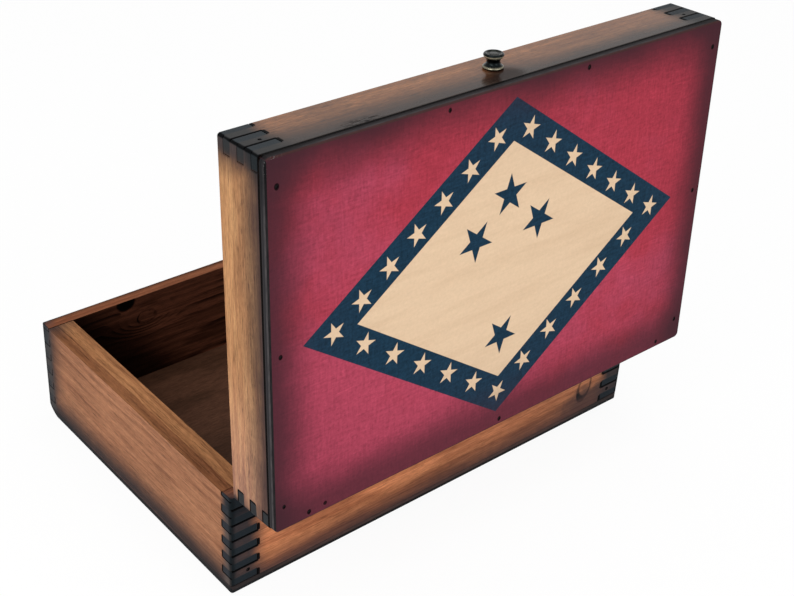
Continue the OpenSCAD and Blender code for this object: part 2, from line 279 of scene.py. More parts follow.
def mix(amount, below, above, blend="MIX"):
    """Colour above laid over colour below by that amount."""
    return amount.finish.add(
        "ShaderNodeMix",
        {"data_type": "RGBA", "blend_type": blend},
        {0: amount, 6: below, 7: above},
        2,
    )


# How far one step of a seed moves the noise, in its cells.
SEED_STEP = (7.31, 3.17, 5.53)


def noise(place, stretch, seed, detail=2.0, roughness=0.5):
    """Noise from 0 to 1 around 0.5. stretch is the number of its cells per millimetre by axis."""
    cells = place.finish.add(
        "ShaderNodeVectorMath", {"operation": "MULTIPLY"}, {0: place, 1: stretch}
    )
    moved = place.finish.add(
        "ShaderNodeVectorMath",
        {"operation": "ADD"},
        {0: cells, 1: tuple(seed * step for step in SEED_STEP)},
    )
    return place.finish.add(
        "ShaderNodeTexNoise",
        {"noise_dimensions": "3D"},
        {"Vector": moved, "Scale": 1.0, "Detail": detail, "Roughness": roughness},
    )


def even_noise(place, per_mm, seed, detail=2.0, roughness=0.5):
    """Noise with cells as large on each axis."""
    return noise(place, (per_mm,) * 3, seed, detail, roughness)


def shut_place(finish, lid):
    """Place on the piece in millimetres, as it is while the lid is shut."""
    objects = finish.add("ShaderNodeTexCoord", {}, {}, "Object")
    turn = (LID_OPEN, 0, 0) if lid else (0, 0, 0)
    move = tuple(SHUT_MOVE) if lid else (0, 0, 0)
    return finish.add(
        "ShaderNodeMapping",
        {"vector_type": "POINT"},
        {"Vector": objects, "Location": move, "Rotation": turn, "Scale": (1 / MM,) * 3},
    )


def split(place):
    """The three parts of a place: along the box, towards its rear, and up."""
    parts = place.finish.add("ShaderNodeSeparateXYZ", {}, {0: place})
    return parts.of(0), parts.of(1), parts.of(2)


class Spot:
    """A place on a piece, and how far it is from the outside of the box."""

    def __init__(self, finish, lid):
        self.place = shut_place(finish, lid)
        self.x, self.y, self.z = split(self.place)
        self.from_end = HALF_L - size(self.x)
        self.from_long = HALF_D - size(self.y)
        self.from_outside = least(self.from_end, self.from_long)


# The width of the change from an end face to a long face, at an upright corner.
CORNER_BLUR = 0.1


def end_face(at):
    """1 on the end faces of the box and 0 on the long ones."""
    return rise(at.from_long - at.from_end, -CORNER_BLUR, CORNER_BLUR)


def long_face(at):
    """1 on the long faces of the box and 0 on the end ones."""
    return rise(at.from_end - at.from_long, -CORNER_BLUR, CORNER_BLUR)


# ---- Wood ----

# A board's colours: of its bare wood, of the char along the outer edges of the box, of the scorch
# at the joints and of the end grain in them, and of its inner face.
Tones = namedtuple("Tones", "light middle dark charred scorched end_grain inner")

# A log's growth rings: the height and the depth of their middle, and the gap between two of them.
# The seed is that of all the board's noise.
Rings = namedtuple("Rings", "height depth gap seed")

# A knot that the rings flow round: its place, its radius, and how far it pushes them apart.
Knot = namedtuple("Knot", "run height radius push")

# How far the torch's smoke reaches and where it is full, as pairs: from the edge of the panel, and
# from an upright corner at the front and at the rear.
Smoke = namedtuple("Smoke", "panel front rear")

# A board's finish. Its grain runs along the length of the box or along its depth. marks is the
# function that lays its own marks, and varnish runs from 0 to 1.
LENGTH, DEPTH = 0, 1
Board = namedtuple(
    "Board", "name along lid tones rings smoke marks knots varnish", defaults=((), 0.0)
)

# The figure of the wood at a spot. late is the dark wood at the end of each year's growth.
Grain = namedtuple("Grain", "late streak fibre fine pore")

# The corner joint at a spot: its dark glue lines with hooks, its end grain, and the scorch.
Joint = namedtuple("Joint", "hooks end_grain scorched")

# A mark on a board: its middle, and how far it is drawn out along the box and in height.
Mark = namedtuple("Mark", "x z wide tall", defaults=(1.0, 1.0))

# How far the log bends along the board, upwards and sideways, and how far its rings ripple.
BEND_UP, BEND_ASIDE, RIPPLE = 26.0, 10.0, 2.4
# Round a knot, a distance along the board counts this much.
KNOT_DRAWN_OUT = 0.45


def grain(place, board):
    """The figure of a board: growth rings, streaks, fibres and pores."""
    parts = split(place)
    run, deep, high = parts[board.along], parts[1 - board.along], parts[2]

    def figure(on_run, on_rest, step, detail=2.0, roughness=0.5):
        """Noise drawn out along the grain."""
        stretch = tuple(on_run if axis == board.along else on_rest for axis in range(3))
        return noise(place, stretch, board.rings.seed + step, detail, roughness)

    bend = figure(0.006, 0.012, step=0, detail=1.0) - 0.5
    ripple = figure(0.03, 0.07, step=1, detail=3.0) - 0.5
    up = high - board.rings.height + bend * BEND_UP + ripple * RIPPLE
    from_middle = reach(up, deep - board.rings.depth + bend * BEND_ASIDE)
    for knot in board.knots:
        from_knot = reach((run - knot.run) * KNOT_DRAWN_OUT, high - knot.height)
        from_middle = from_middle + knot.push * rise(from_knot, knot.radius, 0.0)
    years = from_middle / board.rings.gap
    season = years - whole(years)
    late = rise(season, 0.25, 0.92) * rise(season, 1.0, 0.93)
    return Grain(
        late=late * rise(figure(0.02, 0.15, step=2), 0.35, 0.62),
        streak=figure(0.008, 0.3, step=3, detail=3.0, roughness=0.6),
        fibre=figure(0.018, 0.95, step=4, detail=3.0, roughness=0.7),
        fine=figure(0.16, 1.3, step=5, detail=3.0, roughness=0.75),
        pore=rise(figure(0.045, 1.3, step=6, roughness=0.6), 0.58, 0.68),
    )


class Face(Spot):
    """A spot on a board, with all that its marks depend on."""

    def __init__(self, finish, board):
        super().__init__(finish, board.lid)
        self.corner = reach(self.from_end, self.from_long)
        self.on_end = end_face(self)
        self.rear = rise(self.y, -1.0, 1.0)
        self.front = 1 - self.rear
        into, thick = (self.from_end, END_T) if board.along == DEPTH else (self.from_long, LONG_T)
        self.inside = rise(into, thick - 0.2, thick - 0.05)
        self.outside = 1 - self.inside
        self.grain = grain(self.place, board)
        # Broad light and dark clouds, and a wisp that makes the edges of all marks ragged.
        seed = board.rings.seed
        self.cloud = noise(self.place, (0.012, 0.012, 0.02), seed + 7)
        self.wisp = even_noise(self.place, 0.05, seed + 8, detail=4.0, roughness=0.6) - 0.5


def by_face(at, on_long, on_end):
    """One value on the long faces and another on the end faces."""
    return on_long + (on_end - on_long) * at.on_end


def from_mark(at, mark):
    """Distance to the middle of a mark."""
    return reach((at.x - mark.x) / mark.wide, (at.z - mark.z) / mark.tall)


def burnt(at, tone):
    """A burnt tone, in which the fibres still show."""
    return tinted(tone, 0.86 + (at.grain.fibre - 0.5) * 0.9 + at.grain.fine * 0.28)


def bare_wood(at, board):
    """The wood before it is scorched, darker and with strong rings on the inner face."""
    tones, streak = board.tones, at.grain.streak
    outer = mix(rise(streak, 0.3, 0.7), tones.light, tones.middle)
    outer = mix(at.grain.late * 0.5, outer, tones.dark)
    inner = mix(rise(streak, 0.35, 0.65), tones.inner, shade(tones.inner, 0.6))
    inner = mix(at.grain.late * 0.95, inner, shade(tones.inner, 0.1))
    texture = 1 + (at.grain.fibre - 0.5) * 0.95 + (at.cloud - 0.5) * 0.5 - at.grain.pore * 0.4
    texture = texture + (at.grain.fine - 0.5) * (1.35 + board.varnish * 2.2)
    return tinted(mix(at.inside, outer, inner), texture)


def smoked(at, board):
    """How dark the torch's smoke is towards the panel and the upright corners."""
    from_panel = LID_TOP - at.z if board.lid else at.z
    panel = rise(reach(at.from_outside, from_panel) + at.wisp * 9, *board.smoke.panel)
    front = rise(at.corner + at.wisp * 8, *board.smoke.front) * at.front
    rear = rise(at.corner + at.wisp * 6, *board.smoke.rear) * at.rear
    return most(panel, front, rear)


# How far in from an outer face its own marks end, and where they are full.
SKIN = (0.9, 0.5)
# Half the height of a glue line, and half the width of the hook at its inner end, on the long
# faces and on the end faces.
HALF_LINE = (0.95, 0.45)
HALF_HOOK = (1.2, 0.65)
# How high a hook stands in its gap, from where it fades to where it is full.
HOOK_HIGH = (6.3, 5.4)
# How far past the fingers the scorch reaches and where it is full, on both kinds of face.
SCORCH_LONG, SCORCH_END = (10.0, -7.0), (3.5, -6.0)
# The lid's ends are scorched less at the rear, and all ends show less end grain at the front.
LID_REAR_SPARED, END_GRAIN_SPARED = 0.65, 0.35


def corner_joint(at, lid):
    """The finger joint at each corner of the base or the lid."""
    if lid:
        bottom, top = LID_RIM, LID_SEAM
        first_long, first_end = LID_SEAM - 6 * FINGER, LID_SEAM - 5 * FINGER
    else:
        bottom, top = PLY_T, BASE_RIM
        first_long, first_end = PLY_T, PLY_T + FINGER
    on_face = rise(at.from_outside, *SKIN)
    within = rise(at.z, bottom - 0.1, bottom + 0.1) * rise(at.z, top + 0.1, top - 0.1)
    up = (at.z - by_face(at, first_long, first_end)) / FINGER_PITCH
    up = (up - whole(up)) * FINGER_PITCH
    past = by_face(at, at.from_end, at.from_long) - by_face(at, END_T, LONG_T)

    half_line, half_hook = by_face(at, *HALF_LINE), by_face(at, *HALF_HOOK)
    line = rise(least(up, FINGER_PITCH - up) - half_line, 0.2, -0.2)
    line = line * rise(past - half_hook, 0.3, -0.3)
    aside = size(past - half_hook)
    hook = rise(aside - half_hook, 0.2, -0.2) * rise(up + aside * aside * 0.8, *HOOK_HIGH)

    end_grain = rise(up, FINGER + 0.5, FINGER - 0.5) * rise(past, 0.6, 0.0) * on_face
    scorched = rise(past, *SCORCH_LONG) * (1 - at.on_end) + rise(past, *SCORCH_END) * at.on_end
    if lid:
        line = line * (1 - at.on_end * at.front)
        scorched = scorched * (1 - at.on_end * at.rear * LID_REAR_SPARED)
    return Joint(
        hooks=most(line, hook) * on_face * within,
        end_grain=end_grain * within * (1 - at.on_end * at.front * END_GRAIN_SPARED),
        scorched=scorched * on_face,
    )


BLACK = rgb(4, 4, 5)
EDGE_CHAR = rgb(18, 24, 27)
BLUE_CHAR = rgb(26, 33, 39)
LID_CORNER_CHAR = rgb(30, 35, 38)
BASE_CORNER_CHAR = rgb(54, 58, 60)
# Dark specks on the front rail, beside its blot.
SPECKS = Mark(x=112, z=112, wide=3.2)


def lid_char(at, colour):
    """Char on the lid: black front corners of its ends towards the panel, and upright edges."""
    corner = rise(reach(at.from_long, (LID_SEAM - at.z) * 1.5) + at.wisp * 9, 24.0, 8.0)
    corner = corner * at.on_end * at.front * at.outside * 0.9
    colour = mix(corner, colour, burnt(at, LID_CORNER_CHAR))
    edge = rise(at.corner + at.wisp * 3, 2.0, 0.9) * (1 - at.on_end * at.rear * 0.7)
    return mix(edge * at.outside * 0.85, colour, EDGE_CHAR)


def base_char(at, colour):
    """Char on the base: grey front corners of its ends below the rim, and upright edges."""
    corner = rise(at.from_long + at.wisp * 7, 15.0, 7.0) * (1 - on_base_rim(at))
    corner = corner * at.on_end * at.front * at.outside * 0.6
    colour = mix(corner, colour, burnt(at, BASE_CORNER_CHAR))
    edge = rise(at.corner + at.wisp * 3, 4.2, 1.2)
    return mix(edge * at.outside * 0.85, colour, EDGE_CHAR)


def lid_lines(at, joint):
    """Black on the lid: its glue lines, the seam under the panel, front corners and specks."""
    specks = rise(from_mark(at, SPECKS), 6.0, 2.5) * rise(at.grain.fine, 0.5, 0.56)
    return most(
        joint.hooks * (1 - at.on_end * at.front * 0.65),
        rise(at.z, LID_SEAM - 1.1, LID_SEAM - 0.5),
        rise(at.corner + at.wisp * 2, 1.5, 1.0) * at.front * 0.9,
        specks * at.front * at.outside * 0.9,
    )


def base_lines(at, joint):
    """Black on the base: its glue lines, fainter on the ends at the front."""
    return joint.hooks * (1 - at.on_end * at.front * 0.6)


def brad_heads(at, lid):
    """The dark head of the brad in a finger at each corner."""
    off = reach(at.from_end - BRAD_IN, at.z - (BRAD_LID if lid else BRAD_BASE))
    return rise(off + at.wisp * 1.2, 1.6, 1.1) * rise(at.from_long, *SKIN)


# The varnish is thin round the knob, and it thins towards the panel between two heights.
THIN_AT_KNOB = Mark(x=0.0, z=108.5, wide=1.2)
THIN_AT_PANEL = (113.6, 115.0)


def varnish(at, joint, lines, amount):
    """How much varnish lies on a board: most at the front, and none on the ends."""
    thin = most(
        lines,
        joint.scorched * 0.65,
        rise(at.z, *THIN_AT_PANEL) * 0.8,
        rise(from_mark(at, THIN_AT_KNOB), 13.0, 6.0) * 0.6,
    )
    return (1 - thin) * (1 - at.on_end) * (0.25 + at.front * 0.75) * amount


def board_finish(board):
    """Wood with torch-scorched edges, for the boards of the base or the lid."""
    finish = Finish(board.name)
    at = Face(finish, board)
    joint, smoke, tones = corner_joint(at, board.lid), smoked(at, board), board.tones
    colour = board.marks(at, bare_wood(at, board))
    colour = mix(least(smoke * at.outside, 0.97), colour, burnt(at, tones.charred))
    scorched = least(joint.scorched * (1.0 + at.wisp * 0.5), 1.0) * at.outside
    colour = mix(scorched, colour, burnt(at, tones.scorched))
    if not board.lid:
        near_rim = rise(at.z, BASE_RIM - 26, BASE_RIM - 8) * joint.scorched * at.outside
        colour = mix(near_rim * 0.9, colour, BLUE_CHAR)
    end_grain = tinted(tones.end_grain, 0.75 + at.grain.fine * 0.5)
    colour = mix(joint.end_grain, colour, end_grain)
    colour = lid_char(at, colour) if board.lid else base_char(at, colour)
    lines = lid_lines(at, joint) if board.lid else base_lines(at, joint)
    colour = mix(most(lines, brad_heads(at, board.lid)), colour, BLACK)

    wood = at.grain
    height = wood.fibre * 0.5 + wood.fine * 0.3 - wood.late * 0.3 - wood.pore * 0.6
    return finish.done(
        colour,
        0.5 + (wood.fine - 0.5) * 0.2 + smoke * 0.05,
        height - joint.hooks * 1.5,
        height_mm=0.07,
        Specular_IOR_Level=0.02,
        Coat_Weight=varnish(at, joint, lines, board.varnish) if board.varnish else 0.0,
        Coat_Roughness=0.14,
    )


# ---- Marks of each board ----


def on_base_rim(at):
    """1 on the upper rim of the base."""
    return rise(at.z, BASE_RIM - 0.4, BASE_RIM - 0.1)


# How wide the strip along the outer edge of an end rim is, and how far in its line lies.
STRIP_WIDE, STRIP_LINE = 7.0, 7.2
RIM_WASH, STRIP_WASH = rgb(252, 252, 230), rgb(196, 184, 186)


def base_end_marks(at, colour):
    """The darker strip along the outer edge of the rim, stronger towards the rear."""
    away = at.from_end + at.wisp * 2
    strip = rise(away, STRIP_WIDE + 0.6, STRIP_WIDE - 0.6) * 0.8
    strip = most(strip, rise(size(away - STRIP_LINE), 1.0, 0.2))
    strip = least(strip + rise(at.y, 40.0, 115.0) * 0.3, 1.0)
    on_rim = on_base_rim(at)
    colour = mix(on_rim, colour, RIM_WASH, "MULTIPLY")
    return mix(on_rim * strip, colour, STRIP_WASH, "MULTIPLY")


LONG_RIM_WASH, RIM_EDGE_BROWN = rgb(182, 176, 180), rgb(52, 36, 28)
# The sooty cloud and the black swirl at the left end of the rear board.
SOOT, SWIRL_BLACK = rgb(58, 50, 52), rgb(26, 26, 29)
SOOT_CLOUD = Mark(x=-144, z=14, wide=42, tall=21)
SWIRL_X, SWIRL_Z, SWIRL_RADIUS, SWIRL_NARROW, SWIRL_LEAN = -138, 28, 10.5, 0.62, 0.1
# The black knot inside the front board near its right end, and the eye below it. The eye's black is
# also that of the painted shade in the inner corner at that end.
KNOT_BLACK, EYE_AND_SHADE_BLACK = rgb(8, 5, 4), rgb(6, 4, 3)
BLACK_KNOT = Mark(x=118, z=77, tall=1 / 1.1)
EYE = Mark(x=102, z=59, wide=1.6)
EYE_RADIUS = 5.5


def rear_board_soot(at, colour):
    """A sooty cloud with a swirl in it, and the rear face darker towards the same end."""
    on_rear = at.rear * at.outside
    cloud = rise(from_mark(at, SOOT_CLOUD) + at.wisp * 1.2, 1.15, 0.25)
    # The rear face grows darker towards the end of the cloud, in the soot's colour.
    darker_towards_end = rise(at.x, 70.0, -150.0) * 0.3
    colour = mix(most(cloud * 0.85, darker_towards_end) * on_rear, colour, SOOT)
    heavy = rise(at.z, 34.0, 18.0) * rise(at.x, -146.0, -138.0)
    across = (at.x - SWIRL_X + at.z * SWIRL_LEAN) / SWIRL_NARROW
    swirl = reach(across, at.z - SWIRL_Z + at.wisp * 3) - SWIRL_RADIUS + at.wisp * 6
    swirl = rise(size(swirl) - heavy * 1.6, 2.6, 0.7) * rise(at.z, 38.0, 33.0)
    swirl = swirl * clipped(0.65 + heavy * 0.3 + at.wisp * 2.2)
    return mix(swirl * on_rear, colour, SWIRL_BLACK)


def front_board_knots(at, colour):
    """A black knot, a ring round the eye below it, and painted shade in the inner corner towards
    that end.
    """
    within = at.front * at.inside
    knot = rise(from_mark(at, BLACK_KNOT) + at.wisp * 4, 9.0, 6.6)
    colour = mix(knot * within, colour, KNOT_BLACK)
    ring = rise(size(from_mark(at, EYE) - EYE_RADIUS + at.wisp * 9), 1.1, 0.3)
    ring = ring * clipped(0.45 + at.wisp * 3)
    # Painted shade: darker towards the inner corner at the right end and towards the bottom.
    painted_corner_shade = rise(at.x + (74 - at.z) * 0.95, 107.0, 158.0) * 0.85
    return mix(most(ring, painted_corner_shade) * within, colour, EYE_AND_SHADE_BLACK)


def base_long_marks(at, colour):
    """A reddish rim with a brown outer edge, and the marks of the rear and the front board."""
    on_rim = on_base_rim(at)
    colour = mix(on_rim * at.outside, colour, LONG_RIM_WASH, "MULTIPLY")
    colour = mix(on_rim * rise(at.from_long, 4.5, 0.5) * 0.6, colour, RIM_EDGE_BROWN)
    paler = at.rear * rise(at.z, 21.0, 27.0) * at.outside * (1 - on_rim)
    colour = mix(paler, colour, tinted(colour, 1.3))
    return front_board_knots(at, rear_board_soot(at, colour))


FRONT_BROWN, REAR_COOL, DASH_BROWN = rgb(78, 60, 56), rgb(0, 12, 52), rgb(70, 46, 36)


def lid_end_marks(at, colour):
    """Deeper at the front, cooler towards the rear, and dark dashes in the grain near the panel."""
    deeper = rise(at.y, -40.0, -90.0) * rise(at.z, 94.0, 108.0) * 0.3
    colour = mix(deeper * at.outside, colour, FRONT_BROWN)
    colour = mix(rise(at.y, 0.0, 110.0) * at.outside, colour, REAR_COOL, "ADD")
    dashes = noise(at.place, (0.1, 0.16, 1.1), seed=27.0, roughness=0.6)
    dashes = rise(dashes, 0.57, 0.68) * rise(at.z, 84.0, 98.0) * at.outside * 0.4
    return mix(dashes, colour, DASH_BROWN)


BLOT_BLACK, SCRATCH_PALE, RAIL_SMOKE_AND_SHADE = rgb(20, 14, 12), rgb(150, 128, 112), rgb(27, 12, 12)
BLOT = Mark(x=108, z=112.5, wide=2.6)
KNOB_PAINTED_SHADE = Mark(x=0.0, z=111, wide=1.2)
SCRATCH_X, SCRATCH_Z, SCRATCH_LONG, SCRATCH_THIN, SCRATCH_LEAN = -94, 108, 7, 1.4, 0.05


def lid_long_marks(at, colour):
    """The front rail's blot, scratch, smoke, and painted shade round and under the knob. All its
    other faces are paler.
    """
    on_front = at.front * at.outside
    colour = mix(1 - on_front, colour, tinted(colour, 1.55))
    blot = rise(from_mark(at, BLOT) + at.wisp * 4, 4.0, 1.8) * on_front * 0.8
    colour = mix(blot, colour, BLOT_BLACK)
    along = at.x - SCRATCH_X
    scratch = (at.z - SCRATCH_Z + along * SCRATCH_LEAN) * SCRATCH_THIN
    scratch = rise(reach(along / SCRATCH_LONG, scratch), 1.1, 0.5) * on_front * 0.5
    colour = mix(scratch, colour, SCRATCH_PALE)
    smoke = most(
        rise(at.x, -20.0, 60.0) * rise(at.z, 84.0, 106.0) * 0.35,
        rise(size(at.x - 116), 24.0, 6.0) * 0.3,
        # Painted shade round and under the knob, in the same dark colour as the smoke.
        rise(from_mark(at, KNOB_PAINTED_SHADE) + at.wisp * 8, 18.0, 6.0) * 0.93,
    )
    return mix(smoke * on_front, colour, RAIL_SMOKE_AND_SHADE)


# ---- Boards ----


def base_end_finish():
    """The left and right walls of the base."""
    tones = Tones(
        light=rgb(166, 116, 85),
        middle=rgb(148, 100, 73),
        dark=rgb(100, 60, 42),
        charred=rgb(52, 45, 46),
        scorched=rgb(84, 74, 71),
        end_grain=rgb(32, 38, 43),
        inner=rgb(84, 50, 36),
    )
    rings = Rings(height=30.0, depth=120.0, gap=5.0, seed=3.0)
    smoke = Smoke(panel=(33.0, 4.0), front=(33.0, 3.0), rear=(9.0, 1.0))
    return board_finish(
        Board("base_end_board", DEPTH, False, tones, rings, smoke, base_end_marks)
    )


def base_long_finish():
    """The front and rear walls of the base."""
    tones = Tones(
        light=rgb(186, 122, 84),
        middle=rgb(162, 101, 68),
        dark=rgb(104, 58, 40),
        charred=rgb(82, 59, 55),
        scorched=rgb(56, 49, 50),
        end_grain=rgb(42, 45, 50),
        inner=rgb(100, 59, 43),
    )
    rings = Rings(height=20.0, depth=-60.0, gap=4.4, seed=11.0)
    smoke = Smoke(panel=(25.0, 3.0), front=(12.0, 1.0), rear=(12.0, 1.0))
    knots = (Knot(run=102.0, height=57.0, radius=18.0, push=18.0),)
    return board_finish(
        Board("base_long_board", LENGTH, False, tones, rings, smoke, base_long_marks, knots)
    )


def lid_end_finish():
    """The left and right rails of the lid."""
    tones = Tones(
        light=rgb(187, 141, 98),
        middle=rgb(169, 121, 83),
        dark=rgb(130, 86, 58),
        charred=rgb(58, 46, 47),
        scorched=rgb(64, 56, 55),
        end_grain=rgb(50, 54, 57),
        inner=rgb(110, 74, 54),
    )
    rings = Rings(height=96.0, depth=150.0, gap=3.6, seed=23.0)
    smoke = Smoke(panel=(34.0, 2.0), front=(30.0, 2.0), rear=(5.0, 1.0))
    return board_finish(Board("lid_end_board", DEPTH, True, tones, rings, smoke, lid_end_marks))


def lid_long_finish():
    """The front and rear rails of the lid, which are varnished."""
    tones = Tones(
        light=rgb(131, 86, 54),
        middle=rgb(111, 70, 44),
        dark=rgb(80, 46, 30),
        charred=rgb(34, 24, 20),
        scorched=rgb(44, 44, 44),
        end_grain=rgb(46, 48, 50),
        inner=rgb(110, 74, 54),
    )
    rings = Rings(height=90.0, depth=20.0, gap=4.2, seed=31.0)
    smoke = Smoke(panel=(34.0, 7.0), front=(14.0, 2.0), rear=(14.0, 2.0))
    return board_finish(
        Board("lid_long_board", LENGTH, True, tones, rings, smoke, lid_long_marks, varnish=0.52)
    )


# ---- Print on the lid ----

STAR_POINTS = 5
# A five-pointed star's radius to its notches, as a share of that to its points.
STAR_NOTCH = 0.382
# Directions on the print in turns, as it is seen with the lid open.
OUTWARD, DOWNWARD, INWARD, UPWARD = 0.0, 0.25, 0.5, 0.75

# The middle of the print on the lid, and half the length and the height of each lozenge.
PRINT_X, PRINT_Y = 3.9, -1.5
BAND_OUT = (154.9, 109.7)
BAND_IN = (116.45, 82.1)
SMALL_STAR, LARGE_STAR = 7.7, 13.9
# The end star's distance from the middle, and the steps inward and up or down to the next stars.
END_STAR = 132.8
STAR_STEPS = 6
STEP_UP = (19.9, 14.5)
STEP_DOWN = (END_STAR / STAR_STEPS, -15.6)
LARGE_STARS = (
    (0.0, -47.4, UPWARD),
    (-26.2, -23.5, DOWNWARD),
    (26.2, -23.5, DOWNWARD),
    (0.3, 50.8, DOWNWARD),
)

RED_DEEP, RED_ROSE = rgb(162, 54, 69), rgb(167, 65, 86)
NAVY = rgb(25, 50, 68)
BARE_PALE, BARE_DARK = rgb(216, 188, 157), rgb(202, 172, 141)


def star(u, v, tip, radius):
    """1 inside a star round (0, 0) that has one point in the direction tip, in turns."""
    fold = (maths("ARCTAN2", v, u) / tau + (1 - tip)) * STAR_POINTS
    fold = size(fold - whole(fold + 0.5)) * (tau / STAR_POINTS)
    length = reach(u, v)
    along, across = length * maths("COSINE", fold), length * maths("SINE", fold)
    notch, half_point = radius * STAR_NOTCH, pi / STAR_POINTS
    edge = Vector((notch * sin(half_point), radius - notch * cos(half_point))).normalized()
    outside = (along - radius) * edge.x + across * edge.y
    return rise(outside, 0.22, -0.12)


def lozenge(u, v, half, blur):
    """1 inside a lozenge, whose edge is blurred by a share of its size."""
    return rise(size(u) / half[0] + size(v) / half[1], 1 + blur, 1 - blur)


def band_stars(u, v):
    """The small stars in the band: an upper row and a lower one that both start at its ends."""
    away = size(u)

    def nearest(step):
        """The number of the nearest star in a row, and the place as seen from its middle."""
        count = maths("ROUND", most(END_STAR - away, 0.0) / step[0])
        count = least(count, float(STAR_STEPS))
        return count, away - END_STAR + count * step[0], v + count * step[1]

    _, upper_u, upper_v = nearest(STEP_UP)
    upper = star(upper_u, upper_v, OUTWARD, SMALL_STAR)
    count, lower_u, lower_v = nearest(STEP_DOWN)
    inward = star(lower_u, lower_v, INWARD, SMALL_STAR)
    outward = star(lower_u, lower_v, OUTWARD, SMALL_STAR)
    downward = star(lower_u, lower_v, DOWNWARD, SMALL_STAR)
    first, last = rise(count, 0.6, 0.4), rise(count, STAR_STEPS - 0.6, STAR_STEPS - 0.4)
    lower = inward + first * (outward - inward) + last * (downward - inward)
    return lower + rise(v, 0.01, -0.01) * (upper - lower)


def weave(place):
    """The plywood's fibres, which show through the ink in both directions."""
    along = noise(place, (0.07, 0.6, 0.2), seed=41.0, detail=3.0, roughness=0.7) - 0.5
    across = noise(place, (0.6, 0.07, 0.2), seed=43.0, detail=3.0, roughness=0.7) - 0.5
    return along, across


def inks(at, along, across):
    """The red ink, the dark blue ink and the bare wood of the printed side."""
    speck = even_noise(at.place, 0.5, seed=49.0, detail=3.0, roughness=0.7)
    cloud = even_noise(at.place, 0.02, seed=45.0, detail=3.0, roughness=0.55)
    rosy = rise(cloud + at.y * 0.0022 + at.x * 0.001, 0.3, 0.72)
    ink = 1 + along * 0.65 + across * 0.6 + (speck - 0.5) * 0.75 + rise(speck, 0.66, 0.78) * 0.25
    scuff = noise(at.place, (0.05, 0.4, 0.2), seed=57.0, detail=3.0, roughness=0.65)
    scuff = rise(scuff, 0.58, 0.74) * rise(even_noise(at.place, 0.015, seed=58.0), 0.45, 0.7)
    red = tinted(mix(rosy, RED_DEEP, RED_ROSE), ink + scuff * 0.45)
    navy = tinted(NAVY, 1 + along + across * 0.6 + (speck - 0.5) * 1.2)
    wave = noise(at.place, (0.012, 0.09, 0.1), seed=47.0, detail=3.0, roughness=0.6)
    bare = mix(rise(wave, 0.4, 0.75) * 0.55, BARE_PALE, BARE_DARK)
    return red, navy, tinted(bare, 1 + along * 0.12 + (speck - 0.5) * 0.2)


def lid_print(at, band, along, across):
    """The print: a red field, a dark blue lozenge band with stars, and a bare middle."""
    u, v = at.x - PRINT_X, at.y - PRINT_Y
    red, navy, bare = inks(at, along, across)
    middle = lozenge(u, v, BAND_IN, 0.002)
    colour = mix(middle, mix(band, red, navy), bare)
    colour = mix(band_stars(u, v) * band * (1 - middle), colour, bare)
    for star_u, star_v, tip in LARGE_STARS:
        colour = mix(star(u - star_u, v - star_v, tip, LARGE_STAR), colour, navy)
    return colour


# ---- Plywood ----

PANEL_BRADS = brad_places("lid_panel_brads")
SPARE_HOLE = (144.0, 114.7)
PANEL_SMOKE, HOLE_BLACK = rgb(60, 35, 42), rgb(12, 8, 9)
SEAM_BLACK, PRINT_EDGE_BLACK = rgb(4, 4, 4), rgb(8, 8, 9)
VENEER, VENEER_DARK, VENEER_FLECK = rgb(53, 51, 53), rgb(37, 36, 38), rgb(78, 74, 75)
CORNER_DARK, LONG_EDGE_DARK, LONG_EDGE_RED = rgb(14, 16, 18), rgb(20, 12, 12), rgb(66, 42, 42)
WORN_GREY = rgb(150, 154, 154)
STAIN, STAIN_DARK = rgb(96, 60, 44), rgb(70, 42, 32)


def panel_smoke(at, wisp):
    """How dark the smoke is along the edges of the lid's panel."""
    from_front = HALF_D + at.y + rise(size(at.x - 45), 60.0, 10.0) * 5
    clear = 1.0
    # The distance from an edge, where its smoke is full, and how dark it is there.
    for away, full, darkest in (
        (at.from_end, 2.0, 0.76),
        (from_front, -5.0, 0.84),
        (HALF_D - at.y - 5, 2.0, 0.66),
    ):
        smoke = rise(away + wisp * 12, 36.0, full) * darkest
        haze = rise(away + wisp * 30, 85.0, 15.0) * 0.14
        clear = (1 - (smoke + haze)) * clear
    return 1 - clear


def nail_holes(at, wisp, colour):
    """A dark hole round each brad of the panel, and the empty one beside a rear brad."""
    for x, y in PANEL_BRADS:
        pit = reach(at.x - x, (at.y - y) * 0.8) + wisp * 2.5
        colour = mix(rise(pit, 1.6, 1.0) * 0.92, colour, HOLE_BLACK)
    spare = reach(at.x - SPARE_HOLE[0], at.y - SPARE_HOLE[1]) + wisp * 2.5
    return mix(rise(spare, 1.5, 0.9) * 0.9, colour, HOLE_BLACK)


def panel_edge(at, front_corner):
    """The panel's edge: a black seam, three dark veneers, and a black line along the print."""
    up = at.z - LID_SEAM
    on_long = long_face(at)
    fleck = noise(at.place, (0.12, 0.12, 0.9), seed=53.0, detail=3.0, roughness=0.7)
    edge = mix(rise(up, 3.3, 2.4) * rise(up, 1.9, 2.4), VENEER, VENEER_DARK)
    edge = mix(rise(up, 3.2, 4.0) * rise(fleck, 0.3, 0.7), edge, VENEER_FLECK)
    edge = mix(rise(front_corner, 45.0, 10.0) * 0.6, edge, CORNER_DARK)
    edge = mix(on_long * 0.42, edge, LONG_EDGE_DARK)
    edge = mix(rise(up - on_long * 0.5, 1.6, 0.8), edge, SEAM_BLACK)
    edge = mix(rise(up, 4.9, 5.4) * (0.75 - on_long * 0.5), edge, PRINT_EDGE_BLACK)
    return mix(rise(up, 4.6, 5.6) * on_long * 0.8, edge, LONG_EDGE_RED)


